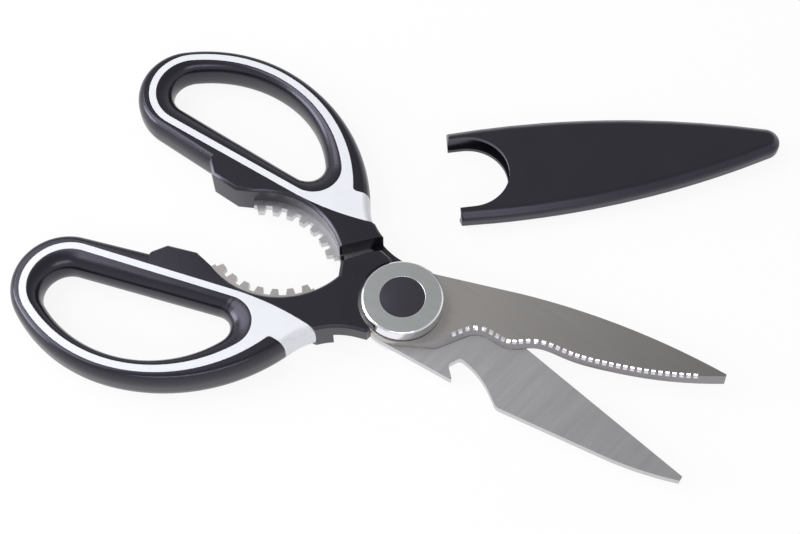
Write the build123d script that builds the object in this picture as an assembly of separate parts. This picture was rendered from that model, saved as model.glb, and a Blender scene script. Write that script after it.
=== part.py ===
from build123d import *
import math
import os

# Kitchen shears with a nutcracker between the handles, a bottle opener in one blade, a serrated
# edge on the other, and a blade sheath that lies beside them. Millimetres, +Z up. The origin is the
# pivot axis where it meets the surface that the shears lie on; +X runs between the two blades.
#
# Both handles come from one mould, so a half is drawn once: closed, its handle on the +Y side, its
# blade in the lower layer. The other half is the same, turned over about X. A distance called back
# runs from the pivot towards the handles, reach runs towards the tips, rise is towards the handle
# of the half that is drawn, and drop is away from it.

# Whole object
open_angle = 20.6
handle_thick = 12.0
handle_reach = 119.6
blade_thick = 2.5
blade_gap = 0.1
hub_gap = 0.3
running_clearance = 0.05
overrun = 5.0

# Finger loop: its outside, the white band that runs round it, and the finger hole
loop_low = 4.2
loop_high = 48.1
loop_crest_share = 0.66
loop_far_radius = 17.2
neck_end_back = 11.07
neck_radius = 22.05
grip_far_wall = 3.8
grip_low_wall = 3.4
grip_top_wall = 2.9
grip_tail_back = 36.6
grip_tail_rise = 22.2
grip_tail_slope = 18.0
grip_tail_radius = 1.4
band_width = 2.3
band_far_radius = 12.3
band_hub_radius = 8.9
band_hub_lift = 2.9
band_front_back = 35.1
liner_front_back = 41.9
liner_far_wall = 4.4
liner_hub_wall = 6.8
liner_low_wall = 5.8
liner_top_wall = 2.8
hole_far_radius = 7.8
hole_hub_radius = 5.8
hole_hub_lift = 1.4
grip_chamfer = 2.65
hole_chamfer = 2.0

# Jaw, knob and hub of a handle
wedge_start_back = 52.0
wedge_end_back = 22.8
knob_back = 80.0
knob_rear_ramp = 4.2
knob_flat_length = 9.6
knob_front_ramp = 5.6
knob_half_gap = 0.8
jaw_back = 44.0
jaw_height = 9.8
jaw_radius = 26.5
jaw_end_back = 21.3
edge_chamfer = 0.8
hub_half_width = 13.5
hub_front_back = 7.6
wall_distance = 23.1
wall_angle = 39.0
lobe_corner_back = 22.1
lobe_corner_drop = 8.4
lobe_corner_radius = 1.0
lobe_far_back = 11.4
lobe_far_drop = 15.6
lobe_far_radius = 2.4
lobe_front_back = 7.4
lobe_front_drop = 13.2
bed_radius = 13.7

# Tang inside the handle, with the nutcracker teeth
strip_width = 4.1
strip_half_angle = 41.0
tang_wall = 2.3
tang_cover = 1.2
tooth_count = 7
tooth_pitch_angle = 11.8
tooth_depth = 2.1
tooth_stand = 1.9
tooth_tip_width = 1.9
tooth_root_width = 2.9

# Blades
opener_blade_lean = 1.2
serrated_blade_lean = 0.93
ricasso_radius = 13.0
bevel_width = 1.4
bevel_depth = 2.2

serrated_reach = 100.4
serrated_heel_reach = 13.0
serrated_heel_rise = 11.0
serrated_spine_reach = 30.0
serrated_spine_drop = 12.8
serrated_tip_drop = 1.5
serrated_tip_rise = 0.6
notch_side_reach = 18.4
notch_side_rise = 7.0
notch_floor_reach = 25.0
notch_floor_rise = 3.2
bump_reach = 34.2
bump_rise = 5.4
dip_reach = 42.2
dip_rise = 3.4
climb_reach = 53.0
climb_rise = 4.6
belly_reach = 64.0
belly_rise = 5.3
sweep_reach = 80.0
sweep_rise = 4.5
serration_pitch = 2.15
serration_width = 1.25
serration_start = 7.0
serration_end = 8.2
serration_inset = 2.1
serration_slope = 33.0

opener_reach = 98.9
opener_shoulder_reach = 38.5
opener_shoulder_rise = 10.35
opener_tip_rise = 1.4
opener_tip_drop = 0.2
opener_straight_reach = 75.0
opener_straight_drop = 6.5
opener_corner_reach = 41.9
opener_corner_drop = 11.3
opener_ramp_reach = 37.6
opener_ramp_drop = 8.4
opener_roof_reach = 24.2
opener_roof_drop = 3.9
opener_throat_reach = 22.3
opener_throat_drop = 7.8
opener_claw_reach = 26.3
opener_claw_drop = 11.5
opener_claw_radius = 0.35
opener_throat_radius = 1.5
opener_corner_radius = 3.0

# Pivot: a base with a hollow post, the cap that the screw pulls down on it, and a plug
post_radius = 3.5
post_flat = 2.8
base_radius = 12.4
thread_radius = 2.0
thread_floor = 1.4
washer_radius = 11.9
washer_thick = 0.45
cap_radius = 12.55
cap_height = 4.65
cap_chamfer = 0.45
cap_web = 1.2
spring_radius = 5.6
spring_thick = 0.3
spring_rise = 0.25
head_radius = 5.4
head_thick = 1.5
socket_flats = 2.5
socket_depth = 0.9
plug_radius = 7.0
plug_thick = 1.2
plug_stand = 0.3

# Sheath
sheath_length = 108.0
sheath_half_width = 16.7
sheath_middle_share = 0.583
sheath_middle_half_width = 13.9
sheath_tip_length = 3.6
sheath_shoulder_half_width = 4.7
sheath_thick = 8.4
sheath_wall = 1.4
sheath_side_wall = 2.6
sheath_end_wall = 2.2
sheath_chamfer = 2.4
sheath_notch_radius = 13.1
sheath_notch_depth = 17.9
sheath_angle = 33.35
sheath_mouth_x = -5.55
sheath_mouth_y = 50.3

half_open = open_angle / 2
mid_height = handle_thick / 2
blade_top = mid_height - blade_gap / 2
blade_low = blade_top - blade_thick
stack_top = handle_thick - blade_low
cap_low = stack_top + running_clearance + washer_thick
post_top = cap_low + cap_web - running_clearance
half_turn = math.pi
quarter_turn = math.pi / 2
half_turn_degrees = 180
hexagon_sides = 6


def at(back, rise):
    """A point behind the pivot, on the side of the handle that is drawn."""
    return (-back, rise)


def on_circle(centre, radius, angle):
    """The point of a circle at an angle in radians."""
    return (centre[0] + radius * math.cos(angle), centre[1] + radius * math.sin(angle))


def arc_between(centre, radius, start, end):
    """The arc of a circle from one angle to another, in radians."""
    return ThreePointArc(
        on_circle(centre, radius, start),
        on_circle(centre, radius, (start + end) / 2),
        on_circle(centre, radius, end),
    )


def crest_circle(end_centre, end_radius, crest):
    """The circle that is level at the crest and runs smoothly into a rounded end of a loop."""
    across = end_centre[0] - crest[0]
    below = crest[1] - end_centre[1]
    radius = (across**2 + below**2 - end_radius**2) / (2 * (below - end_radius))
    centre = (crest[0], crest[1] - radius)
    angle = math.atan2(end_centre[1] - centre[1], end_centre[0] - centre[0])
    return centre, radius, angle


def front_circle(crest):
    """The circle that is level at the crest of a loop and meets the neck smoothly."""
    across = -neck_end_back - crest[0]
    below = crest[1] - hub_half_width
    radius = (across**2 + below**2) / (2 * below) - neck_radius
    return (crest[0], crest[1] - radius), radius


def level_circle(crest, point):
    """The circle that is level at the crest and passes through a point beside and below it."""
    across = point[0] - crest[0]
    below = crest[1] - point[1]
    radius = (across**2 + below**2) / (2 * below)
    centre = (crest[0], crest[1] - radius)
    return centre, radius, math.atan2(point[1] - centre[1], point[0] - centre[0])


def low_angle(far, far_radius, hub, hub_radius):
    """The angle at which a straight line under both ends of a loop touches them."""
    across = hub[0] - far[0]
    rise = hub[1] - far[1]
    tilt = math.asin((far_radius - hub_radius) / math.hypot(across, rise))
    return math.atan2(rise, across) - quarter_turn + tilt


def loop_face(far, far_radius, hub, hub_radius, crest):
    """A closed loop: two round ends, a straight line under them and two arcs over the top."""
    low = low_angle(far, far_radius, hub, hub_radius)
    back_centre, back_radius, far_angle = crest_circle(far, far_radius, crest)
    front_centre, front_radius, hub_angle = crest_circle(hub, hub_radius, crest)
    return make_face([
        arc_between(far, far_radius, far_angle, low + 2 * half_turn),
        Line(on_circle(far, far_radius, low), on_circle(hub, hub_radius, low)),
        arc_between(hub, hub_radius, low, hub_angle),
        arc_between(front_centre, front_radius, hub_angle, quarter_turn),
        arc_between(back_centre, back_radius, quarter_turn, far_angle),
    ])


# Places that several pieces share
loop_far = at(handle_reach - loop_far_radius, loop_low + loop_far_radius)
loop_crest_back = handle_reach * loop_crest_share
loop_crest = at(loop_crest_back, loop_high)
loop_front_centre, loop_front_radius = front_circle(loop_crest)
neck_centre = at(neck_end_back, hub_half_width + neck_radius)
loop_front_angle = math.atan2(
    neck_centre[1] - loop_front_centre[1],
    neck_centre[0] - loop_front_centre[0],
)

band_inner_back = handle_reach - grip_far_wall - band_width
band_inner_low = loop_low + grip_low_wall + band_width
band_far = at(band_inner_back - band_far_radius, band_inner_low + band_far_radius)
band_hub = at(
    liner_front_back + band_hub_radius,
    band_inner_low + band_hub_lift + band_hub_radius,
)
band_crest = at(loop_crest_back, loop_high - grip_top_wall)
liner_crest = at(loop_crest_back, loop_high - grip_top_wall - band_width)
band_low_angle = low_angle(band_far, band_far_radius, band_hub, band_hub_radius)
band_low_start = on_circle(band_far, band_far_radius + band_width, band_low_angle)
band_low_slope = band_low_angle + quarter_turn

hole_low = band_inner_low + liner_low_wall
hole_far = at(band_inner_back - liner_far_wall - hole_far_radius, hole_low + hole_far_radius)
hole_hub = at(
    liner_front_back + liner_hub_wall + hole_hub_radius,
    hole_low + hole_hub_lift + hole_hub_radius,
)
hole_crest = at(loop_crest_back, liner_crest[1] - liner_top_wall)

jaw_centre = at(jaw_back, jaw_height - jaw_radius)


def on_band_low(back):
    """The point of the straight lower edge of the band, so far behind the pivot."""
    return at(back, band_low_start[1] + (-back - band_low_start[0]) * math.tan(band_low_slope))


def on_neck(back):
    """The point of the neck, the hollow curve from the loop to the hub, so far behind the pivot."""
    across = back + neck_centre[0]
    return at(back, neck_centre[1] - math.sqrt(neck_radius**2 - across**2))


def neck_arc(start_angle):
    """The neck from one of its angles to where it runs out level along the hub."""
    return arc_between(neck_centre, neck_radius, start_angle, half_turn + quarter_turn)


def on_jaw(back):
    """The point of the nutcracker jaw's arc, so far behind the pivot."""
    across = back - jaw_back
    return at(back, jaw_centre[1] + math.sqrt(jaw_radius**2 - across**2))


def outline_face():
    """The outside of the finger loop, run on along the neck and under the jaw."""
    back_centre, back_radius, far_angle = crest_circle(loop_far, loop_far_radius, loop_crest)
    low_end = (neck_centre[0], loop_low)
    return make_face([
        arc_between(loop_far, loop_far_radius, far_angle, half_turn + quarter_turn),
        Line((loop_far[0], loop_low), low_end),
        Line(low_end, (neck_centre[0], hub_half_width)),
        neck_arc(half_turn + loop_front_angle),
        arc_between(loop_front_centre, loop_front_radius, loop_front_angle, quarter_turn),
        arc_between(back_centre, back_radius, quarter_turn, far_angle),
    ])


def band_face():
    """All that lies inside the outer edge of the white band."""
    far_radius = band_far_radius + band_width
    back_centre, back_radius, far_angle = crest_circle(band_far, far_radius, band_crest)
    front = level_circle(band_crest, at(band_front_back, band_hub[1]))
    front_centre, front_radius, front_angle = front
    low_end = on_circle(band_hub, band_hub_radius + band_width, band_low_angle)
    return make_face([
        arc_between(band_far, far_radius, far_angle, band_low_angle + 2 * half_turn),
        Line(band_low_start, low_end),
        Line(low_end, on_circle(front_centre, front_radius, front_angle)),
        arc_between(front_centre, front_radius, front_angle, quarter_turn),
        arc_between(back_centre, back_radius, quarter_turn, far_angle),
    ])


def wedge_edges():
    """The line where the jaw meets the white core, from the seam by the knob to the outside."""
    start = on_band_low(wedge_start_back)
    slope = (math.cos(band_low_slope), math.sin(band_low_slope))
    return [
        Line(on_band_low(knob_back), start),
        TangentArc([start, on_neck(wedge_end_back)], tangent=slope),
    ]


def jaw_side_face():
    """The half of the handle below that line, with room to spare below and in front."""
    seam = on_band_low(knob_back)
    end = on_neck(wedge_end_back)
    return make_face(wedge_edges() + [
        Line(end, (0, end[1])),
        Line((0, end[1]), (0, -overrun)),
        Line((0, -overrun), (seam[0], -overrun)),
        Line((seam[0], -overrun), seam),
    ])


def tail_face():
    """The room below the grip's tail, which the white core and the jaw fill."""
    slope = math.tan(math.radians(grip_tail_slope))
    tail_top = grip_tail_rise + grip_tail_back * slope
    return make_face(Polyline(
        at(loop_crest_back, tail_top - loop_crest_back * slope),
        at(0, tail_top),
        at(0, loop_low),
        at(loop_crest_back, loop_low),
        close=True,
    ))


def grip_face():
    """The grip, seen from above: the loop outside its band, as far as the knob and the tail."""
    face = outline_face() - band_face() - jaw_side_face() - tail_face()
    tail_tip = face.vertices().sort_by_distance((-grip_tail_back, grip_tail_rise))[0]
    return fillet(tail_tip, grip_tail_radius)


def liner_face():
    return loop_face(band_far, band_far_radius, band_hub, band_hub_radius, liner_crest)


def hole_face():
    return loop_face(hole_far, hole_far_radius, hole_hub, hole_hub_radius, hole_crest)


def jaw_face():
    """Jaw, knob and hub, seen from above, as far as the bed that the pivot turns in."""
    end = on_neck(wedge_end_back)
    end_angle = half_turn + math.atan2(neck_centre[1] - end[1], neck_centre[0] - end[0])
    neck_end = (neck_centre[0], hub_half_width)
    seam = on_band_low(knob_back)
    ramp_low = at(knob_back - knob_rear_ramp, knob_half_gap)
    flat_end = at(knob_back - knob_rear_ramp - knob_flat_length, knob_half_gap)
    ramp_end = on_jaw(knob_back - knob_rear_ramp - knob_flat_length - knob_front_ramp)
    jaw_end = on_jaw(jaw_end_back)
    jaw_start_angle = math.atan2(jaw_end[1] - jaw_centre[1], jaw_end[0] - jaw_centre[0])
    jaw_end_angle = math.atan2(ramp_end[1] - jaw_centre[1], ramp_end[0] - jaw_centre[0])
    lobe_corner = at(lobe_corner_back, -lobe_corner_drop)
    lobe_far = at(lobe_far_back, -lobe_far_drop)
    face = make_face(wedge_edges() + [
        neck_arc(end_angle),
        Line(neck_end, at(hub_front_back, hub_half_width)),
        Line(at(hub_front_back, hub_half_width), (0, 0)),
        Line((0, 0), at(lobe_front_back, -lobe_front_drop)),
        Line(at(lobe_front_back, -lobe_front_drop), lobe_far),
        Line(lobe_far, lobe_corner),
        Line(lobe_corner, jaw_end),
        arc_between(jaw_centre, jaw_radius, jaw_start_angle, jaw_end_angle),
        Line(ramp_end, flat_end),
        Line(flat_end, ramp_low),
        Line(ramp_low, at(knob_back, loop_low)),
        Line(at(knob_back, loop_low), seam),
    ])
    face = fillet(face.vertices().sort_by_distance(lobe_corner)[0], lobe_corner_radius)
    return fillet(face.vertices().sort_by_distance(lobe_far)[0], lobe_far_radius)


def tang_face():
    """The steel in the handle: a neck through the hub and a toothed strip round the jaw."""
    inner = jaw_radius - tooth_stand
    outer = inner + strip_width
    low = quarter_turn - math.radians(strip_half_angle)
    high = quarter_turn + math.radians(strip_half_angle)
    strip = make_face([
        arc_between(jaw_centre, inner, low, high),
        Line(on_circle(jaw_centre, inner, high), on_circle(jaw_centre, outer, high)),
        arc_between(jaw_centre, outer, high, low),
        Line(on_circle(jaw_centre, outer, low), on_circle(jaw_centre, inner, low)),
    ])
    covered = jaw_radius + tang_cover
    neck_high = (low + quarter_turn) / 2
    jaw_side_back = jaw_end_back - tang_wall
    neck = make_face(Polyline(
        at(0, hub_half_width - tang_wall),
        at(lobe_corner_back, hub_half_width - tang_wall),
        on_circle(jaw_centre, outer, neck_high),
        on_circle(jaw_centre, covered, neck_high),
        on_circle(jaw_centre, covered, low),
        at(jaw_side_back, -tang_wall),
        at(jaw_side_back, tang_wall - lobe_corner_drop),
        at(0, tang_wall - lobe_front_drop),
        close=True,
    ))
    return strip + neck + tooth_faces(inner)


def tooth_faces(root_radius):
    """The row of blunt nutcracker teeth that stand on the strip, towards the jaw's centre."""
    tip_radius = root_radius - tooth_depth
    first = quarter_turn - math.radians(tooth_pitch_angle) * (tooth_count - 1) / 2
    teeth = Sketch()
    for index in range(tooth_count):
        middle = first + index * math.radians(tooth_pitch_angle)
        tip_half = tooth_tip_width / 2 / tip_radius
        root_half = tooth_root_width / 2 / root_radius
        teeth += make_face(Polyline(
            on_circle(jaw_centre, tip_radius, middle - tip_half),
            on_circle(jaw_centre, tip_radius, middle + tip_half),
            on_circle(jaw_centre, root_radius, middle + root_half),
            on_circle(jaw_centre, root_radius + tooth_depth / 2, middle),
            on_circle(jaw_centre, root_radius, middle - root_half),
            close=True,
        ))
    return teeth


def serrated_edge():
    """The cutting edge: from its heel down into the bone notch, over the belly and to the tip."""
    return Spline(
        (serrated_heel_reach, serrated_heel_rise),
        (notch_side_reach, notch_side_rise),
        (notch_floor_reach, notch_floor_rise),
        (bump_reach, bump_rise),
        (dip_reach, dip_rise),
        (climb_reach, climb_rise),
        (belly_reach, belly_rise),
        (sweep_reach, sweep_rise),
        (serrated_reach, serrated_tip_rise),
    )


def serrated_face():
    tip_low = (serrated_reach, -serrated_tip_drop)
    tip_high = (serrated_reach, serrated_tip_rise)
    spine = (serrated_spine_reach, -serrated_spine_drop)
    heel = (serrated_heel_reach, serrated_heel_rise)
    face = make_face([
        serrated_edge(),
        Line(tip_high, tip_low),
        TangentArc([spine, tip_low], tangent=(1, 0)),
        Line(spine, (0, -serrated_spine_drop)),
        Line((0, -serrated_spine_drop), (0, ricasso_radius)),
        Line((0, ricasso_radius), heel),
    ])
    return face + Circle(ricasso_radius)


def opener_face():
    tip_high = (opener_reach, opener_tip_rise)
    tip_low = (opener_reach, -opener_tip_drop)
    straight = (opener_straight_reach, -opener_straight_drop)
    corner = (opener_corner_reach, -opener_corner_drop)
    ramp = (opener_ramp_reach, -opener_ramp_drop)
    roof = (opener_roof_reach, -opener_roof_drop)
    throat = (opener_throat_reach, -opener_throat_drop)
    claw = (opener_claw_reach, -opener_claw_drop)
    shoulder = (opener_shoulder_reach, opener_shoulder_rise)
    run = (straight[0] - corner[0], straight[1] - corner[1])
    face = make_face([
        Line((0, -ricasso_radius), (0, ricasso_radius)),
        Line((0, ricasso_radius), shoulder),
        Line(shoulder, tip_high),
        Line(tip_high, tip_low),
        TangentArc([straight, tip_low], tangent=run),
        Line(straight, corner),
        Line(corner, ramp),
        TangentArc([ramp, roof], tangent=(ramp[0] - corner[0], ramp[1] - corner[1])),
        Line(roof, throat),
        Line(throat, claw),
        Line(claw, (0, -ricasso_radius)),
    ])
    for point, radius in (
        (claw, opener_claw_radius),
        (throat, opener_throat_radius),
        (roof, opener_throat_radius),
        (corner, opener_corner_radius),
    ):
        face = fillet(face.vertices().sort_by_distance(point)[0], radius)
    return face + Circle(ricasso_radius)


def sheath_face(inset, end_inset):
    """The sheath from above, mouth at the origin, tip towards +X, drawn in by a wall."""
    high = sheath_half_width - inset
    middle = (sheath_length * sheath_middle_share, sheath_middle_half_width - inset)
    shoulder_reach = sheath_length - sheath_tip_length - end_inset
    shoulder = sheath_shoulder_half_width - inset
    return make_face([
        ThreePointArc((0, high), middle, (shoulder_reach, shoulder)),
        ThreePointArc(
            (shoulder_reach, shoulder),
            (sheath_length - end_inset, 0),
            (shoulder_reach, -shoulder),
        ),
        ThreePointArc((shoulder_reach, -shoulder), (middle[0], -middle[1]), (0, -high)),
        Line((0, -high), (0, high)),
    ])


def flip(solid):
    """Turn a half over, so that its blade is in the upper layer and its handle on the other side."""
    return Pos(0, 0, handle_thick) * Rot(half_turn_degrees, 0, 0) * solid


def near_points(edges, points):
    """The edges whose middles lie on one of the points, at whatever height."""
    return [
        edge for edge in edges
        if min(math.dist(tuple(edge @ 0.5)[:2], point) for point in points) < edge_chamfer
    ]


def loop_blank():
    """The whole finger loop with its eased edges, before it is parted into its mouldings."""
    blank = extrude(outline_face(), handle_thick)
    rim = blank.edges().filter_by_position(Axis.Z, 0, 0)
    rim += blank.edges().filter_by_position(Axis.Z, handle_thick, handle_thick)
    blank = chamfer(rim, grip_chamfer)
    hole = extrude(hole_face(), handle_thick)
    inside = hole.bounding_box()
    blank -= hole
    rim = [
        edge for edge in blank.edges()
        if edge.bounding_box().min.X > inside.min.X - edge_chamfer
        and edge.bounding_box().max.X < inside.max.X + edge_chamfer
        and edge.bounding_box().min.Y > inside.min.Y - edge_chamfer
        and edge.bounding_box().size.Z < edge_chamfer
    ]
    return chamfer(rim, hole_chamfer)


def split_loop(blade):
    """Part the loop into grip, white core and liner, and sink the tang into the core."""
    blank = loop_blank()
    liner = extrude(liner_face(), handle_thick)
    grip = extrude(grip_face(), handle_thick)
    jaw_side = extrude(jaw_side_face(), handle_thick)
    return {
        "grip": blank & grip,
        "handle_core": blank - grip - liner - jaw_side - blade,
        "loop_liner": blank & liner,
    }


def jaw_shell(blade):
    """Jaw, knob and hub plate, with the pocket that the tang lies in."""
    shell = extrude(jaw_face(), handle_thick)
    start = on_band_low(wedge_start_back)
    seam = on_band_low(knob_back)
    joint = wedge_edges()
    hidden = [
        ((seam[0] + start[0]) / 2, (seam[1] + start[1]) / 2),
        (seam[0], (seam[1] + loop_low) / 2),
        tuple(joint[1] @ 0.5)[:2],
    ]
    rim = shell.edges().filter_by_position(Axis.Z, 0, 0)
    rim += shell.edges().filter_by_position(Axis.Z, handle_thick, handle_thick)
    rim = [edge for edge in rim if edge not in near_points(rim, hidden)]
    shell = chamfer(rim, edge_chamfer)
    swing = Rot(0, 0, half_turn_degrees - wall_angle) * Pos(wall_distance - jaw_back, 0, 0)
    swing *= Rectangle(2 * jaw_back, 2 * jaw_back)
    upper = mid_height - hub_gap / 2
    shell -= Pos(0, 0, upper) * extrude(swing, handle_thick)
    shell -= Cylinder(bed_radius, 2 * handle_thick)
    return shell - blade


def bored_blade(face, bore):
    """A blade in the lower layer, cut from sheet with its tang in one piece."""
    return Pos(0, 0, blade_low) * extrude(face + tang_face() - bore, blade_thick)


def bevelled(blade, edge):
    """Grind a blade from its outer face, along this edge of its outline."""
    outer = blade.faces().sort_by(Axis.Z)[0]
    ground = near_points(outer.edges(), [tuple(edge @ 0.5)[:2]])
    return chamfer(ground, bevel_width, bevel_depth, reference=outer)


def opener_blade():
    """The lower blade: its bore has two flats, which lock it to the pivot."""
    bore = Circle(post_radius + running_clearance)
    bore &= Rectangle(2 * base_radius, 2 * (post_flat + running_clearance))
    shoulder = (opener_shoulder_reach, opener_shoulder_rise)
    tip = (opener_reach, opener_tip_rise)
    lean = Rot(0, 0, opener_blade_lean)
    edge = lean * Line(shoulder, tip)
    return bevelled(bored_blade(lean * opener_face(), bore), edge)


def serrated_blade():
    """The upper blade: it turns on the pivot, and its bevel is ground across in small notches."""
    lean = Rot(0, 0, -serrated_blade_lean)
    blade = bored_blade(lean * serrated_face(), Circle(post_radius + running_clearance))
    edge = lean * serrated_edge()
    blade = bevelled(blade, edge)
    span = edge.length - serration_start - serration_end
    count = int(span / serration_pitch) + 1
    slope = math.radians(serration_slope)
    length = serration_inset * 2
    cutters = []
    for index in range(count):
        share = (serration_start + index * serration_pitch) / edge.length
        along = edge.tangent_at(share)
        outward = Vector(-along.Y, along.X, 0)
        foot = edge.position_at(share) - outward * serration_inset + Vector(0, 0, blade_low)
        up = Vector(0, 0, math.cos(slope)) - outward * math.sin(slope)
        facet = Plane(foot, x_dir=along, z_dir=up)
        cutters.append(facet * Box(
            serration_width, length, length, align=(Align.CENTER, Align.MIN, Align.MAX)
        ))
    return blade - cutters


def disc(radius, low, high):
    """A disc about the pivot axis between two heights."""
    return Pos(0, 0, low) * extrude(Circle(radius), high - low)


def ring(radius, bore, low, high):
    """A disc with a hole through it."""
    return disc(radius, low, high) - disc(bore, low, high)


def pivot_base():
    """The round base under the blades and the hollow post that both of them turn on."""
    foot = disc(base_radius, 0, blade_low)
    post = extrude(Circle(post_radius), post_top)
    key = Circle(post_radius) & Rectangle(2 * base_radius, 2 * post_flat)
    waist = Pos(0, 0, blade_low) * extrude(Circle(post_radius) - key, blade_top - blade_low)
    thread = Pos(0, 0, thread_floor) * extrude(Circle(thread_radius), post_top)
    return foot + post - waist - thread


def pivot_cap():
    """The round cap: a deep ring, with a web that the screw pulls down and a bore for the plug."""
    top = cap_low + cap_height
    cap = ring(cap_radius, post_radius + running_clearance, cap_low, top)
    cap = chamfer(cap.edges().group_by(Axis.Z)[-1].sort_by(SortBy.RADIUS)[-1], cap_chamfer)
    return cap - disc(plug_radius, cap_low + cap_web, top)


def thrust_washer():
    return ring(washer_radius, post_radius + running_clearance, cap_low - washer_thick, cap_low)


def spring_washer():
    """The dished washer under the screw's head, which keeps the blades pressed together."""
    low = cap_low + cap_web
    inner = thread_radius + running_clearance
    profile = Polyline(
        (spring_radius, 0, low),
        (spring_radius, 0, low + spring_thick),
        (inner, 0, low + spring_thick + spring_rise),
        (inner, 0, low + spring_rise),
        close=True,
    )
    return revolve(make_face(profile), Axis.Z)


def pivot_screw():
    """The screw from above into the post, with a hexagon socket in its head."""
    low = cap_low + cap_web + spring_thick + spring_rise
    head = disc(head_radius, low, low + head_thick)
    shank_low = thread_floor + thread_radius
    shank = disc(thread_radius - running_clearance, shank_low, low)
    socket = extrude(RegularPolygon(socket_flats / 2, hexagon_sides, major_radius=False), head_thick)
    return head + shank - Pos(0, 0, low + head_thick - socket_depth) * socket


def pivot_plug():
    """The plug that is pressed into the cap's bore over the screw and stands a little proud."""
    top = cap_low + cap_height
    return disc(plug_radius, top - plug_thick, top + plug_stand)


def blade_sheath():
    """The moulded sheath, hollow for both blades, its mouth notched to clear base and cap."""
    body = extrude(sheath_face(0, 0), sheath_thick)
    rim = body.edges().filter_by_position(Axis.Z, 0, 0)
    rim += body.edges().filter_by_position(Axis.Z, sheath_thick, sheath_thick)
    body = chamfer([edge for edge in rim if (edge @ 0.5).X > 0], sheath_chamfer)
    room = sheath_thick - 2 * sheath_wall
    cavity = extrude(sheath_face(sheath_side_wall, sheath_end_wall), room)
    mouth_width = 2 * (sheath_half_width - sheath_side_wall)
    cavity += extrude(Rectangle(overrun, mouth_width, align=(Align.MAX, Align.CENTER)), room)
    notch_centre = sheath_notch_depth - sheath_notch_radius
    notch = Pos(notch_centre, 0) * Circle(sheath_notch_radius)
    reach = notch_centre + overrun
    notch += Pos(-overrun, 0) * Rectangle(
        reach, 2 * sheath_notch_radius, align=(Align.MIN, Align.CENTER)
    )
    body -= Pos(0, 0, sheath_wall) * cavity
    body -= extrude(notch, sheath_thick)
    return Pos(sheath_mouth_x, sheath_mouth_y, 0) * Rot(0, 0, sheath_angle) * body


def half(prefix, blade):
    """One half of the shears, closed and in the lower layer: its blade and what is moulded on it."""
    pieces = {prefix + "_" + name: solid for name, solid in split_loop(blade).items()}
    pieces[prefix + "_jaw_shell"] = jaw_shell(blade)
    pieces[prefix + "_blade"] = blade
    return pieces


def pivot():
    return {
        "pivot_base": pivot_base(),
        "thrust_washer": thrust_washer(),
        "pivot_cap": pivot_cap(),
        "spring_washer": spring_washer(),
        "pivot_screw": pivot_screw(),
        "pivot_plug": pivot_plug(),
    }


def build():
    """Every sub-part by name, where it lies in the open shears."""
    pieces = {}
    for name, solid in {**half("opener", opener_blade()), **pivot()}.items():
        pieces[name] = Rot(0, 0, -half_open) * solid
    for name, solid in half("serrated", serrated_blade()).items():
        pieces[name] = Rot(0, 0, half_open) * flip(solid)
    pieces["blade_sheath"] = blade_sheath()
    return pieces


os.makedirs("parts", exist_ok=True)
for node, solid in build().items():
    export_step(solid, f"parts/{node}.step")
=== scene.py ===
"""Kitchen shears with a blade sheath: the looks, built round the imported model."""

import math

import bmesh
import bpy
from bpy.props import FloatProperty, FloatVectorProperty, IntProperty, PointerProperty
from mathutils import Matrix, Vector
from mathutils.geometry import intersect_point_line


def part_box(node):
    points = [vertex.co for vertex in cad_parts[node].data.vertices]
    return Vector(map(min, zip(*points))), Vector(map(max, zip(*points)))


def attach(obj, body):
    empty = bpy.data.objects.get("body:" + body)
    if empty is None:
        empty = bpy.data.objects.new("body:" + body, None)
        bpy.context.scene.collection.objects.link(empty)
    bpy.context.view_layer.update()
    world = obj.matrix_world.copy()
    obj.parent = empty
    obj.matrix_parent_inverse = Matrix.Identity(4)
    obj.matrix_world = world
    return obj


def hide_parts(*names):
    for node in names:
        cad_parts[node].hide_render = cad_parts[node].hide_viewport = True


bl_info = {
    "name": "Kitchen Shears",
    "version": (1, 0, 0),
    "blender": (4, 5, 0),
    "location": "View3D > Sidebar > Shears",
    "description": "Rounds the mouldings, grinds the steel and lights the shears",
    "category": "Add Mesh",
}

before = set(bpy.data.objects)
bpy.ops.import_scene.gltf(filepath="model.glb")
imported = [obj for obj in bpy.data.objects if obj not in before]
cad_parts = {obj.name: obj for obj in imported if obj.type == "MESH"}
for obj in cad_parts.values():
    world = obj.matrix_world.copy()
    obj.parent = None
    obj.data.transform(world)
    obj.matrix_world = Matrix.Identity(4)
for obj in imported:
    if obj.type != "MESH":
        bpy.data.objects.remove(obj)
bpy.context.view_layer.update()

HALVES = ("opener", "serrated")

# How near two points are one, how flat two faces are one, and how sharp an edge shows
JOIN_DISTANCE = 0.000004
FLAT_ANGLE = math.radians(1.2)
SMOOTH_ANGLE = math.radians(32)

# How far a face's normal points along Z, for each way that a face can lie
PLUMB_MOST = 0.02
SLANTED_LEAST = 0.5
SLANTED_MOST = 0.86
LEVEL_LEAST = 0.995

# The same for what is ground on a blade: the bevel first, then the serrations
GROUND_LEAST = 0.2
SERRATION_LEAST = 0.7
SERRATION_MOST = 0.97

# The flat faces of a handle, and how far from them the walls stop that are eased
HANDLE_LOW = 0.0
HANDLE_TOP = 0.012
HANDLE_MIDDLE = (HANDLE_LOW + HANDLE_TOP) / 2
EASE_LEAST = 0.0015

# How near a point is to the wall or face that it lies on, and how far past a wall's ends
FLAT_STEP = 0.00005
WALL_SPARE = 0.02

# Heights at which a core's outline is cut, clear of the steel in it
CORE_CUTS = {"opener": 0.008, "serrated": 0.004}

# Cuts across the round of a liner, and how full it is: 2 is an ellipse
RING_CUTS = 14
RING_BOW = 1.9

# Faces across the small rounds, and rings in the plug's crown
SEAM_STEPS = 2
JAW_STEPS = 3
TURNED_STEPS = 3
CROWN_RINGS = 8

# The angle of each blade's brushing about +Z: across the lower blade, along the upper one
OPENER_LIE = math.radians(73)
SERRATED_LIE = math.radians(-9)

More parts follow.
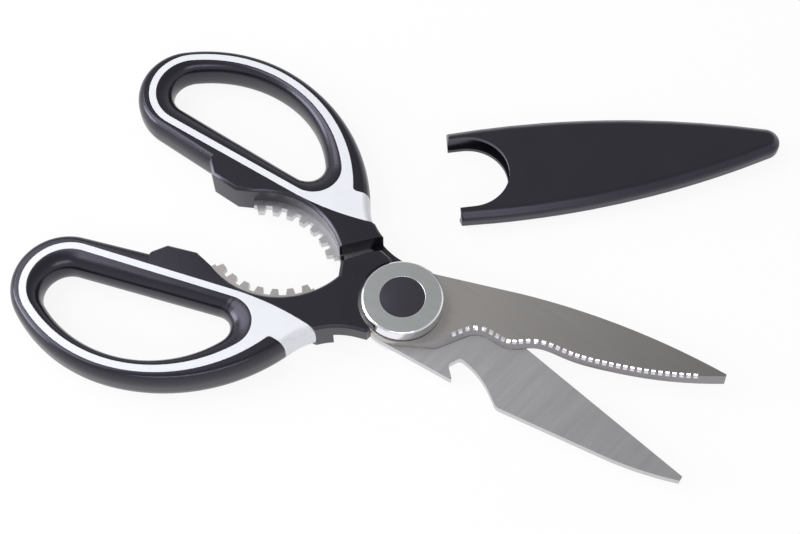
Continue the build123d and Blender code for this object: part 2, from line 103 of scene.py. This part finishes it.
# Where along +X the painted shade that darkens a blade towards its tip starts and ends
BLADE_ROOT = 0.02
BLADE_TIP = 0.1

# How long a brushed streak is
STREAK_LENGTH = 0.03

# The faint lavender of the lamps and of the gloss on plastic
LAMP_COLOUR = (0.96, 0.96, 1.0)
GLOSS_COLOUR = (0.84, 0.82, 1.0)

# The colour sockets of a Mix node, by number, because its other sockets have the same names
MIX_FIRST = 6
MIX_SECOND = 7
MIX_RESULT = 2

# The floor: its width, how far it lies under the shears, its colour and how much of it is white
FLOOR_SIZE = 6
FLOOR_DROP = 0.00005
FLOOR_GREY = 0.9
FLOOR_GLOW = 0.9

# The studio's light near the horizon and overhead, each with the height where it starts
HORIZON = (0.1, (0.95, 0.95, 1.0, 1))
OVERHEAD = (0.75, (0.42, 0.42, 0.42, 1))

# What the camera sees of the floor and of the studio
WHITE = (1, 1, 1, 1)


def length(name, description, default):
    """A size in metres that can't be less than nothing."""
    return FloatProperty(
        name=name, description=description, default=default, min=0, unit="LENGTH"
    )


def colour(name, description, default):
    """A plain linear colour."""
    return FloatVectorProperty(
        name=name, description=description, default=default, subtype="COLOR"
    )


def power(name, description, default):
    """A lamp's power in watts."""
    return FloatProperty(name=name, description=description, default=default, unit="POWER")


class ShearsSizes(bpy.types.PropertyGroup):
    """Rounds of the finished pieces."""

    grip_round: length(
        "Grip round", "How far the round of a grip's outside reaches over its top", 0.0026
    )
    round_depth: length(
        "Round depth", "How far down the wall of a handle its large rounds run", 0.005
    )
    seam_round: length(
        "Seam round", "The small round where two mouldings of a handle meet", 0.00014
    )
    jaw_round: length("Jaw round", "How far each edge of the jaw's chamfer is rounded", 0.00022)
    sheath_round: length(
        "Sheath round", "How far each edge of the sheath's chamfer is rounded", 0.00168
    )
    steel_break: length("Steel edge break", "The round on the edges of turned steel", 0.00014)
    plug_crown: length(
        "Plug crown", "How far the middle of the plug rises above its rim", 0.00045
    )
    round_steps: IntProperty(
        name="Round steps", description="Faces across a large round", default=8, min=1
    )


class ShearsColours(bpy.types.PropertyGroup):
    """Colours of the finishes."""

    opener_steel: colour(
        "Opener blade steel", "Neutral light steel of the lower blade", (0.61, 0.61, 0.62)
    )
    serrated_steel: colour(
        "Serrated blade steel", "Warmer steel of the upper blade", (0.49, 0.47, 0.45)
    )
    ground_steel: colour("Ground steel", "The bevels of both blades", (0.3, 0.29, 0.295))
    serration_steel: colour(
        "Serration steel", "Fresh bright steel of the serrations", (0.86, 0.86, 0.88)
    )
    pivot_steel: colour(
        "Pivot steel", "Brushed faces of the pivot's cap and base", (0.545, 0.57, 0.56)
    )
    wall_steel: colour(
        "Wall steel", "Polished walls of the pivot, its washers and screw", (0.88, 0.88, 0.93)
    )
    white_plastic: colour(
        "White plastic", "Hard plastic of the loop's band and wedge", (0.78, 0.795, 0.82)
    )
    grip_rubber: colour(
        "Grip rubber", "Soft black of the grips and the loop liners", (0.0045, 0.004, 0.006)
    )
    jaw_plastic: colour(
        "Jaw plastic", "Hard black of the jaws, knobs and hub", (0.004, 0.0035, 0.0055)
    )
    plug_plastic: colour(
        "Plug plastic", "Dark plastic of the plug in the pivot", (0.03, 0.027, 0.034)
    )
    sheath_plastic: colour(
        "Sheath plastic", "Black plastic of the sheath", (0.007, 0.0055, 0.009)
    )


class ShearsStage(bpy.types.PropertyGroup):
    """Where the camera stands and how strong the lamps are."""

    camera_azimuth: FloatProperty(
        name="Camera azimuth",
        description="Turn of the camera about the shears, from the -Y side towards +X",
        default=math.radians(25.72),
        subtype="ANGLE",
    )
    camera_elevation: FloatProperty(
        name="Camera elevation",
        description="Height of the camera above the horizon",
        default=math.radians(61.5),
        subtype="ANGLE",
    )
    camera_distance: length(
        "Camera distance", "From the camera to the point that it looks at", 0.4934
    )
    camera_aim: FloatVectorProperty(
        name="Camera aim",
        description="The point in the middle of the picture",
        default=(-0.00645, 0.01178, 0.008),
        subtype="TRANSLATION",
    )
    camera_lens: FloatProperty(
        name="Camera lens", description="Focal length in millimetres", default=71.06
    )
    soft_power: power("Soft lamp power", "The large soft lamp, high on the left", 4.6)
    side_power: power("Side lamp power", "The low lamp at the side", 3.4)
    front_power: power("Front lamp power", "The narrow lamp in front", 1.4)


def alone(piece):
    """Select this piece and nothing else."""
    bpy.ops.object.select_all(action="DESELECT")
    piece.select_set(True)
    bpy.context.view_layer.objects.active = piece


def open_mesh(piece):
    """Go into edit mode on this piece alone."""
    alone(piece)
    bpy.ops.object.mode_set(mode="EDIT")


def close_mesh():
    """Leave edit mode."""
    bpy.ops.object.mode_set(mode="OBJECT")


def pick_all():
    """In edit mode, select the whole mesh."""
    bpy.ops.mesh.select_all(action="SELECT")


def pick(piece, kind, wanted):
    """In edit mode, select just the faces or edges for which the test holds."""
    bpy.ops.mesh.select_mode(type=kind)
    bpy.ops.mesh.select_all(action="DESELECT")
    mesh = bmesh.from_edit_mesh(piece.data)
    mesh.normal_update()
    for item in mesh.faces if kind == "FACE" else mesh.edges:
        item.select_set(wanted(item))
    bmesh.update_edit_mesh(piece.data)


def anywhere(start, end):
    """The test for an edge's ends that every edge passes."""
    return True


def pick_edges(piece, faces_pass, ends_pass=anywhere):
    """In edit mode, select the edges whose two normals and two ends pass their tests."""
    def wanted(edge):
        if len(edge.link_faces) != 2:
            return False
        first, second = (face.normal for face in edge.link_faces)
        start, end = (corner.co for corner in edge.verts)
        return faces_pass(first, second) and ends_pass(start, end)
    pick(piece, "EDGE", wanted)


def round_edges(width, steps, clamp=True):
    """In edit mode, round the selected edges; unclamped, also past short edges beside them."""
    bpy.ops.mesh.bevel(
        offset=width, offset_type="OFFSET", segments=steps, profile=0.5, clamp_overlap=clamp
    )


def plumb(normal):
    """Whether a face is a wall."""
    return abs(normal.z) < PLUMB_MOST


def slanted(normal):
    """Whether a face is a chamfer, which leans half way between plumb and level."""
    return SLANTED_LEAST < abs(normal.z) < SLANTED_MOST


def level(normal):
    """Whether a face is a top or a bottom."""
    return abs(normal.z) > LEVEL_LEAST


def bevelled(normal):
    """Whether a face of a blade is its ground bevel."""
    return GROUND_LEAST < abs(normal.z) < SERRATION_LEAST


def serrated(normal):
    """Whether a face of a blade is one of its serrations."""
    return SERRATION_LEAST < abs(normal.z) < SERRATION_MOST


def rim_of(test):
    """A test for edges where only one of the two faces passes this one."""
    def wanted(first, second):
        return test(first) != test(second)
    return wanted


def level_meets_plumb(first, second):
    """The test for edges between a flat face and a wall."""
    return (level(first) and plumb(second)) or (level(second) and plumb(first))


def merged_copy(node, name):
    """A new piece from a node's mesh, its loose triangles merged into whole flat faces."""
    piece = bpy.data.objects.new(name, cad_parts[node].data.copy())
    piece.data.name = name
    bpy.context.scene.collection.objects.link(piece)
    alone(piece)
    bpy.ops.mesh.customdata_custom_splitnormals_clear()
    open_mesh(piece)
    pick_all()
    bpy.ops.mesh.remove_doubles(threshold=JOIN_DISTANCE)
    bpy.ops.mesh.dissolve_limited(angle_limit=FLAT_ANGLE)
    close_mesh()
    return piece


def eased_walls(mesh):
    """The plumb walls that stop short of both flat faces, as pairs of points from above."""
    walls = []
    for face in mesh.polygons:
        if not plumb(face.normal):
            continue
        corners = [mesh.vertices[index].co for index in face.vertices]
        low = min(corner.z for corner in corners)
        high = max(corner.z for corner in corners)
        square = all(min(corner.z - low, high - corner.z) < FLAT_STEP for corner in corners)
        if square and HANDLE_LOW + EASE_LEAST < low and high < HANDLE_TOP - EASE_LEAST:
            along = Vector((-face.normal.y, face.normal.x))
            ends = sorted((corner.xy for corner in corners), key=along.dot)
            walls.append((ends[0], ends[-1]))
    return walls


def on_wall(point, walls):
    """Whether a point, seen from above, lies on one of these walls."""
    for start, end in walls:
        foot, share = intersect_point_line(point.xy, start, end)
        if -WALL_SPARE < share < 1 + WALL_SPARE and (foot - point.xy).length < FLAT_STEP:
            return True
    return False


def moulded_block(node, name, height):
    """A block as thick as the handle, with the node's outline at this height, and the
    walls of the node that are eased.

    A seam across the middle keeps the flat face of a ring in two halves, because one face
    can't have a hole in it."""
    piece = merged_copy(node, name)
    walls = eased_walls(piece.data)
    low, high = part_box(node)
    open_mesh(piece)
    pick_all()
    bpy.ops.mesh.bisect(
        plane_co=(0, 0, height), plane_no=(0, 0, 1), clear_inner=True, clear_outer=True
    )
    pick_all()
    bpy.ops.mesh.remove_doubles(threshold=JOIN_DISTANCE)
    bpy.ops.mesh.fill(use_beauty=False)
    pick_all()
    bpy.ops.mesh.bisect(plane_co=((low[0] + high[0]) / 2, 0, 0), plane_no=(1, 0, 0))
    bpy.ops.mesh.mark_seam()
    pick_all()
    bpy.ops.mesh.dissolve_limited(angle_limit=FLAT_ANGLE, delimit={"SEAM"})
    pick_all()
    bpy.ops.mesh.mark_seam(clear=True)
    bpy.ops.transform.translate(value=(0, 0, HANDLE_LOW - height))
    bpy.ops.mesh.extrude_region_move(
        TRANSFORM_OT_translate={"value": (0, 0, HANDLE_TOP - HANDLE_LOW)}
    )
    pick_all()
    bpy.ops.mesh.normals_make_consistent(inside=False)
    close_mesh()
    return piece, walls


def stretch(factor):
    """In edit mode, scale a block's height about its middle, so that a round gets oval."""
    pick_all()
    bpy.ops.transform.resize(value=(1, 1, factor), center_override=(0, 0, HANDLE_MIDDLE))


def round_block(piece, walls, sizes):
    """Round the eased rims of a block deeply, and its seams with the next moulding slightly."""
    flat = HANDLE_MIDDLE - HANDLE_LOW - FLAT_STEP

    def eased(start, end):
        return on_wall((start + end) / 2, walls)

    def on_flat_face(start, end):
        near = min(abs(start.z - HANDLE_MIDDLE), abs(end.z - HANDLE_MIDDLE))
        return near > flat and abs(start.z - end.z) < FLAT_STEP

    open_mesh(piece)
    stretch(sizes.grip_round / sizes.round_depth)
    pick_edges(piece, rim_of(level), eased)
    round_edges(sizes.grip_round, sizes.round_steps, clamp=False)
    stretch(sizes.round_depth / sizes.grip_round)
    pick_edges(piece, level_meets_plumb, on_flat_face)
    round_edges(sizes.seam_round, SEAM_STEPS)
    close_mesh()


def round_ring(piece, walls, sizes):
    """Round a ring all the way from its outer rim down into its hole.

    The flat faces go, the hole's wall is lowered to where the rounds end, and a bowed
    bridge joins the two rims on each side."""
    flat = HANDLE_MIDDLE - HANDLE_LOW
    waist = flat - sizes.round_depth
    open_mesh(piece)
    pick(piece, "FACE", lambda face: level(face.normal))
    bpy.ops.mesh.delete(type="ONLY_FACE")
    mesh = bmesh.from_edit_mesh(piece.data)
    loose = [edge for edge in mesh.edges if not edge.link_faces]
    bmesh.ops.delete(mesh, geom=loose, context="EDGES")
    for corner in mesh.verts:
        if on_wall(corner.co, walls):
            side = math.copysign(1, corner.co.z - HANDLE_MIDDLE)
            corner.co.z = HANDLE_MIDDLE + side * waist
    bmesh.update_edit_mesh(piece.data)
    for side in (-1, 1):
        def open_rim(edge):
            height = edge.verts[0].co.z - HANDLE_MIDDLE
            return len(edge.link_faces) == 1 and height * side > 0
        pick(piece, "EDGE", open_rim)
        bpy.ops.mesh.bridge_edge_loops(number_cuts=RING_CUTS, interpolation="LINEAR")
    mesh = bmesh.from_edit_mesh(piece.data)
    for corner in mesh.verts:
        height = corner.co.z - HANDLE_MIDDLE
        share = (flat - abs(height)) / (flat - waist)
        if 0 < share < 1:
            bowed = waist + (flat - waist) * (1 - share ** RING_BOW) ** (1 / RING_BOW)
            corner.co.z = HANDLE_MIDDLE + math.copysign(bowed, height)
    bmesh.update_edit_mesh(piece.data)
    pick_all()
    bpy.ops.mesh.normals_make_consistent(inside=False)
    close_mesh()


def crown(piece, rise):
    """Lower the rim of the plug's top face and raise it ring by ring to a shallow dome."""
    low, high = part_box("pivot_plug")
    ring = (high[0] - low[0]) / 2 / CROWN_RINGS
    open_mesh(piece)
    pick(piece, "FACE", lambda face: face.normal.z > LEVEL_LEAST)
    bpy.ops.transform.translate(value=(0, 0, -rise))
    for step in range(1, CROWN_RINGS):
        outer = 1 - (step - 1) / CROWN_RINGS
        inner = 1 - step / CROWN_RINGS
        bpy.ops.mesh.inset(thickness=ring, depth=rise * (outer ** 2 - inner ** 2))
    close_mesh()


def finish_piece(piece, node, body, material):
    """Smooth a piece, give it its finish and let it stand for its node."""
    alone(piece)
    bpy.ops.object.shade_smooth_by_angle(angle=SMOOTH_ANGLE)
    weighted = piece.modifiers.new("weighted", "WEIGHTED_NORMAL")
    weighted.keep_sharp = True
    bpy.ops.object.modifier_apply(modifier=weighted.name)
    piece.data.materials.clear()
    piece.data.materials.append(material)
    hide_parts(node)
    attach(piece, body)


def finish_faces(piece, material, wanted):
    """Add a second finish to a piece, on the faces whose normal passes the test."""
    piece.data.materials.append(material)
    place = len(piece.data.materials) - 1
    for face in piece.data.polygons:
        if wanted(face.normal):
            face.material_index = place


def add_node(tree, kind, values=None, **settings):
    """A shader node of this kind, with its settings and the values of its input sockets."""
    made = tree.nodes.new(kind)
    for name, value in settings.items():
        setattr(made, name, value)
    for name, value in (values or {}).items():
        made.inputs[name].default_value = value
    return made


def join(source, output, target, socket):
    """Link a node's output to another node's input."""
    source.id_data.links.new(source.outputs[output], target.inputs[socket])


def new_finish(name, values):
    """A new material with these values on its main shader, its node tree and that shader."""
    material = bpy.data.materials.new(name)
    material.use_nodes = True
    tree = material.node_tree
    shader = tree.nodes["Principled BSDF"]
    for socket, value in values.items():
        shader.inputs[socket].default_value = value
    return material, tree, shader


def add_noise(tree, source, output, values):
    """A noise with these values, read at the place that comes from the source."""
    noise = add_node(tree, "ShaderNodeTexNoise", values)
    join(source, output, noise, "Vector")
    return noise


def vary_gloss(tree, noise, shader, roughness, swing):
    """Let the roughness swing to both sides of its middle with a noise."""
    span = add_node(tree, "ShaderNodeMapRange", {
        "To Min": roughness - swing,
        "To Max": roughness + swing,
    })
    join(noise, "Fac", span, "Value")
    join(span, "Result", shader, "Roughness")


def tint(tree, noise, target, socket, middle, spread):
    """Let a colour go from a little darker to a little lighter with a noise."""
    mix = add_node(tree, "ShaderNodeMix", data_type="RGBA")
    for end, factor in ((MIX_FIRST, 1 - spread), (MIX_SECOND, 1 + spread)):
        mix.inputs[end].default_value = (*(channel * factor for channel in middle), 1)
    join(noise, "Fac", mix, "Factor")
    join(mix, MIX_RESULT, target, socket)


def roughen(tree, noise, shader, strength, distance):
    """Let a noise stand up from the surface as a fine relief."""
    bump = add_node(tree, "ShaderNodeBump", {"Strength": strength, "Distance": distance})
    join(noise, "Fac", bump, "Height")
    join(bump, "Normal", shader, "Normal")


def moulded(name, middle, roughness, grain, depth, specular=0.5):
    """Moulded plastic or rubber: an even colour, a fine eroded grain and cloudy gloss."""
    material, tree, shader = new_finish(name, {
        "Specular IOR Level": specular,
        "Specular Tint": (*GLOSS_COLOUR, 1),
    })
    place = add_node(tree, "ShaderNodeTexCoord")
    cloud = add_noise(tree, place, "Object", {"Scale": 90, "Detail": 3})
    fine = add_noise(tree, place, "Object", {"Scale": 1 / grain, "Detail": 2})
    tint(tree, cloud, shader, "Base Color", middle, spread=0.06)
    vary_gloss(tree, cloud, shader, roughness, swing=0.05)
    roughen(tree, fine, shader, strength=0.5, distance=depth)
    return material


def brushed(name, middle, roughness, lie, streak_width, painted_tip_shade):
    """Brushed steel: streaks along one direction, and painted shade that darkens the colour
    towards the tip.
    """
    material, tree, shader = new_finish(name, {"Metallic": 1})
    place = add_node(tree, "ShaderNodeTexCoord")
    turn = add_node(tree, "ShaderNodeMapping", {
        "Rotation": (0, 0, lie),
        "Scale": (STREAK_LENGTH, streak_width, streak_width),
    }, vector_type="TEXTURE")
    join(place, "Object", turn, "Vector")
    streaks = add_noise(tree, turn, "Vector", {"Scale": 1, "Detail": 5, "Roughness": 0.62})
    parts = add_node(tree, "ShaderNodeSeparateXYZ")
    join(place, "Object", parts, "Vector")
    # Painted shade: the colour is multiplied down along +X, by the given share at the tip
    painted_tip_ramp = add_node(tree, "ShaderNodeMapRange", {
        "From Min": BLADE_ROOT,
        "From Max": BLADE_TIP,
        "To Min": 1,
        "To Max": 1 - painted_tip_shade,
    })
    join(parts, "X", painted_tip_ramp, "Value")
    shade = add_node(
        tree, "ShaderNodeMix", {"Factor": 1}, data_type="RGBA", blend_type="MULTIPLY"
    )
    join(painted_tip_ramp, "Result", shade, MIX_SECOND)
    tint(tree, streaks, shade, MIX_FIRST, middle, spread=0.09)
    join(shade, MIX_RESULT, shader, "Base Color")
    vary_gloss(tree, streaks, shader, roughness, swing=0.07)
    roughen(tree, streaks, shader, strength=0.25, distance=0.00001)
    return material


def polished(name, middle, roughness):
    """Ground and polished steel, with faint clouds in its gloss."""
    material, tree, shader = new_finish(name, {"Metallic": 1})
    place = add_node(tree, "ShaderNodeTexCoord")
    cloud = add_noise(tree, place, "Object", {"Scale": 400, "Detail": 2})
    tint(tree, cloud, shader, "Base Color", middle, spread=0.02)
    vary_gloss(tree, cloud, shader, roughness, swing=0.03)
    return material


class SHEARS_OT_add_grips(bpy.types.Operator):
    """Round the outside of both soft grips"""

    bl_idname = "shears.add_grips"
    bl_label = "Add grips"

    def execute(self, context):
        rubber = moulded(
            "soft_black",
            context.scene.shears_colours.grip_rubber,
            roughness=0.26,
            grain=0.00025,
            depth=0.000004,
            specular=0.7,
        )
        for half in HALVES:
            node = half + "_grip"
            piece, walls = moulded_block(node, half + "_soft_grip", HANDLE_MIDDLE)
            round_block(piece, walls, context.scene.shears_sizes)
            finish_piece(piece, node, half + "_half", rubber)
        return {"FINISHED"}


class SHEARS_OT_add_liners(bpy.types.Operator):
    """Round the finger holes of both loop liners"""

    bl_idname = "shears.add_liners"
    bl_label = "Add loop liners"

    def execute(self, context):
        rubber = bpy.data.materials["soft_black"]
        for half in HALVES:
            node = half + "_loop_liner"
            piece, walls = moulded_block(node, half + "_liner", HANDLE_MIDDLE)
            round_ring(piece, walls, context.scene.shears_sizes)
            finish_piece(piece, node, half + "_half", rubber)
        return {"FINISHED"}


class SHEARS_OT_add_cores(bpy.types.Operator):
    """Add the white core with its band and wedge to both handles"""

    bl_idname = "shears.add_cores"
    bl_label = "Add handle cores"

    def execute(self, context):
        white = moulded(
            "hard_white",
            context.scene.shears_colours.white_plastic,
            roughness=0.28,
            grain=0.0006,
            depth=0.000003,
        )
        for half in HALVES:
            node = half + "_handle_core"
            piece, walls = moulded_block(node, half + "_core", CORE_CUTS[half])
            round_block(piece, walls, context.scene.shears_sizes)
            finish_piece(piece, node, half + "_half", white)
        return {"FINISHED"}


class SHEARS_OT_add_jaws(bpy.types.Operator):
    """Round the edges of both jaws, with their knobs and hubs"""

    bl_idname = "shears.add_jaws"
    bl_label = "Add jaws"

    def execute(self, context):
        plastic = moulded(
            "jaw_black",
            context.scene.shears_colours.jaw_plastic,
            roughness=0.27,
            grain=0.00018,
            depth=0.000008,
            specular=0.75,
        )
        for half in HALVES:
            node = half + "_jaw_shell"
            piece = merged_copy(node, half + "_jaw")
            open_mesh(piece)
            pick_edges(piece, rim_of(slanted))
            round_edges(context.scene.shears_sizes.jaw_round, JAW_STEPS)
            close_mesh()
            finish_piece(piece, node, half + "_half", plastic)
        return {"FINISHED"}


class SHEARS_OT_add_blades(bpy.types.Operator):
    """Add both blades, brushed on their faces and polished where they are ground"""

    bl_idname = "shears.add_blades"
    bl_label = "Add blades"

    def execute(self, context):
        colours = context.scene.shears_colours
        ground = polished("ground_steel", colours.ground_steel, roughness=0.3)
        serration = polished("serration_steel", colours.serration_steel, roughness=0.14)
        # The last value of each blade is the share of painted shade that darkens its tip
        for half, middle, lie, streak_width, painted_tip_shade in (
            ("opener", colours.opener_steel, OPENER_LIE, 0.0016, 0.1),
            ("serrated", colours.serrated_steel, SERRATED_LIE, 0.0005, 0.34),
        ):
            steel = brushed(
                half + "_brushed",
                middle,
                roughness=0.36,
                lie=lie,
                streak_width=streak_width,
                painted_tip_shade=painted_tip_shade,
            )
            node = half + "_blade"
            piece = merged_copy(node, half + "_cutting_blade")
            finish_piece(piece, node, half + "_half", steel)
            finish_faces(piece, ground, bevelled)
            finish_faces(piece, serration, serrated)
        return {"FINISHED"}


class SHEARS_OT_add_pivot(bpy.types.Operator):
    """Add the pivot: base, cap, washers, screw and plug"""

    bl_idname = "shears.add_pivot"
    bl_label = "Add pivot"

    def execute(self, context):
        sizes = context.scene.shears_sizes
        colours = context.scene.shears_colours
        face_steel = brushed(
            "cap_brushed",
            colours.pivot_steel,
            roughness=0.34,
            lie=0,
            streak_width=0.0003,
            painted_tip_shade=0,
        )
        wall_steel = polished("wall_steel", colours.wall_steel, roughness=0.17)
        plastic = moulded(
            "plug_black", colours.plug_plastic, roughness=0.32, grain=0.0002, depth=0.00001
        )
        for node in ("pivot_base", "pivot_cap"):
            piece = merged_copy(node, node + "_turned")
            open_mesh(piece)
            pick_edges(piece, rim_of(level))
            round_edges(sizes.steel_break, TURNED_STEPS, clamp=False)
            close_mesh()
            finish_piece(piece, node, "opener_half", face_steel)
            finish_faces(piece, wall_steel, lambda normal: not level(normal))
        for node in ("thrust_washer", "spring_washer", "pivot_screw"):
            piece = merged_copy(node, node + "_turned")
            finish_piece(piece, node, "opener_half", wall_steel)
        piece = merged_copy("pivot_plug", "pivot_plug_crown")
        crown(piece, sizes.plug_crown)
        finish_piece(piece, "pivot_plug", "opener_half", plastic)
        return {"FINISHED"}


class SHEARS_OT_add_sheath(bpy.types.Operator):
    """Round the edges of the sheath"""

    bl_idname = "shears.add_sheath"
    bl_label = "Add sheath"

    def execute(self, context):
        sizes = context.scene.shears_sizes
        plastic = moulded(
            "sheath_black",
            context.scene.shears_colours.sheath_plastic,
            roughness=0.33,
            grain=0.0003,
            depth=0.00001,
            specular=0.75,
        )
        piece = merged_copy("blade_sheath", "blade_cover")
        open_mesh(piece)
        pick_edges(piece, rim_of(slanted))
        round_edges(sizes.sheath_round, sizes.round_steps)
        close_mesh()
        finish_piece(piece, "blade_sheath", "sheath", plastic)
        return {"FINISHED"}


class SHEARS_OT_add_stage(bpy.types.Operator):
    """Add the floor, the lamps, the studio round them and the camera"""

    bl_idname = "shears.add_stage"
    bl_label = "Add stage"

    def execute(self, context):
        stage = context.scene.shears_stage
        add_floor()
        add_world(context.scene)
        add_lamp("soft_lamp", (-0.6, -0.1, 0.7), width=0.8, height=0.6, watts=stage.soft_power)
        add_lamp(
            "side_lamp", (-0.75, -0.36, 0.26), width=0.5, height=0.3, watts=stage.side_power
        )
        add_lamp(
            "front_lamp", (0.3, -0.62, 0.58), width=0.7, height=0.14, watts=stage.front_power
        )
        add_camera(context.scene, stage)
        context.scene.view_settings.view_transform = "Standard"
        return {"FINISHED"}


def add_floor():
    """The pale table: white to the camera and in reflections, with the shears' soft shadow."""
    bpy.ops.mesh.primitive_plane_add(size=FLOOR_SIZE, location=(0, 0, -FLOOR_DROP))
    floor = bpy.context.object
    floor.name = "floor"
    material, tree, shader = new_finish("floor_white", {
        "Base Color": (FLOOR_GREY, FLOOR_GREY, FLOOR_GREY, 1),
        "Roughness": 0.9,
    })
    glow = add_node(tree, "ShaderNodeEmission", {"Color": WHITE, "Strength": 1})
    path = add_node(tree, "ShaderNodeLightPath")
    seen = add_node(tree, "ShaderNodeMath", operation="MAXIMUM")
    join(path, "Is Camera Ray", seen, 0)
    join(path, "Is Glossy Ray", seen, 1)
    share = add_node(tree, "ShaderNodeMath", {1: FLOOR_GLOW}, operation="MULTIPLY")
    join(seen, "Value", share, 0)
    mix = add_node(tree, "ShaderNodeMixShader")
    join(share, "Value", mix, "Fac")
    join(shader, "BSDF", mix, 1)
    join(glow, "Emission", mix, 2)
    join(mix, "Shader", tree.nodes["Material Output"], "Surface")
    floor.data.materials.append(material)


def add_world(scene):
    """A studio that is white to the camera, pale near the horizon and grey overhead."""
    world = bpy.data.worlds.new("studio")
    scene.world = world
    world.use_nodes = True
    tree = world.node_tree
    place = add_node(tree, "ShaderNodeTexCoord")
    parts = add_node(tree, "ShaderNodeSeparateXYZ")
    join(place, "Generated", parts, "Vector")
    ramp = add_node(tree, "ShaderNodeValToRGB")
    for stop, (height, light) in zip(ramp.color_ramp.elements, (HORIZON, OVERHEAD)):
        stop.position = height
        stop.color = light
    join(parts, "Z", ramp, "Fac")
    path = add_node(tree, "ShaderNodeLightPath")
    mix = add_node(tree, "ShaderNodeMix", {MIX_SECOND: WHITE}, data_type="RGBA")
    join(path, "Is Camera Ray", mix, "Factor")
    join(ramp, "Color", mix, MIX_FIRST)
    join(mix, MIX_RESULT, tree.nodes["Background"], "Color")


def add_lamp(name, place, width, height, watts):
    """A soft oblong lamp that faces the pivot."""
    data = bpy.data.lights.new(name, "AREA")
    data.shape = "RECTANGLE"
    data.size = width
    data.size_y = height
    data.energy = watts
    data.color = LAMP_COLOUR
    lamp = bpy.data.objects.new(name, data)
    bpy.context.scene.collection.objects.link(lamp)
    lamp.location = place
    lamp.rotation_euler = (-lamp.location).to_track_quat("-Z", "Y").to_euler()


def add_camera(scene, stage):
    """The camera at the viewing angle of the picture."""
    azimuth, elevation = stage.camera_azimuth, stage.camera_elevation
    back = Vector((
        math.sin(azimuth) * math.cos(elevation),
        -math.cos(azimuth) * math.cos(elevation),
        math.sin(elevation),
    ))
    data = bpy.data.cameras.new("camera")
    data.lens = stage.camera_lens
    camera = bpy.data.objects.new("camera", data)
    scene.collection.objects.link(camera)
    camera.location = Vector(stage.camera_aim) + back * stage.camera_distance
    camera.rotation_euler = (-back).to_track_quat("-Z", "Y").to_euler()
    scene.camera = camera


class SHEARS_PT_panel(bpy.types.Panel):
    """The steps that dress the shears, in order"""

    bl_idname = "SHEARS_PT_panel"
    bl_label = "Kitchen shears"
    bl_space_type = "VIEW_3D"
    bl_region_type = "UI"
    bl_category = "Shears"

    def draw(self, context):
        for operator in OPERATORS:
            self.layout.operator(operator.bl_idname)


OPERATORS = (
    SHEARS_OT_add_grips,
    SHEARS_OT_add_liners,
    SHEARS_OT_add_cores,
    SHEARS_OT_add_jaws,
    SHEARS_OT_add_blades,
    SHEARS_OT_add_pivot,
    SHEARS_OT_add_sheath,
    SHEARS_OT_add_stage,
)
CLASSES = (ShearsSizes, ShearsColours, ShearsStage) + OPERATORS + (SHEARS_PT_panel,)


def register():
    for cls in CLASSES:
        bpy.utils.register_class(cls)
    bpy.types.Scene.shears_sizes = PointerProperty(type=ShearsSizes)
    bpy.types.Scene.shears_colours = PointerProperty(type=ShearsColours)
    bpy.types.Scene.shears_stage = PointerProperty(type=ShearsStage)


def unregister():
    del bpy.types.Scene.shears_stage
    del bpy.types.Scene.shears_colours
    del bpy.types.Scene.shears_sizes
    for cls in reversed(CLASSES):
        bpy.utils.unregister_class(cls)


def main():
    register()
    bpy.ops.shears.add_grips()
    bpy.ops.shears.add_liners()
    bpy.ops.shears.add_cores()
    bpy.ops.shears.add_jaws()
    bpy.ops.shears.add_blades()
    bpy.ops.shears.add_pivot()
    bpy.ops.shears.add_sheath()
    bpy.ops.shears.add_stage()


if __name__ == "__main__":
    main()
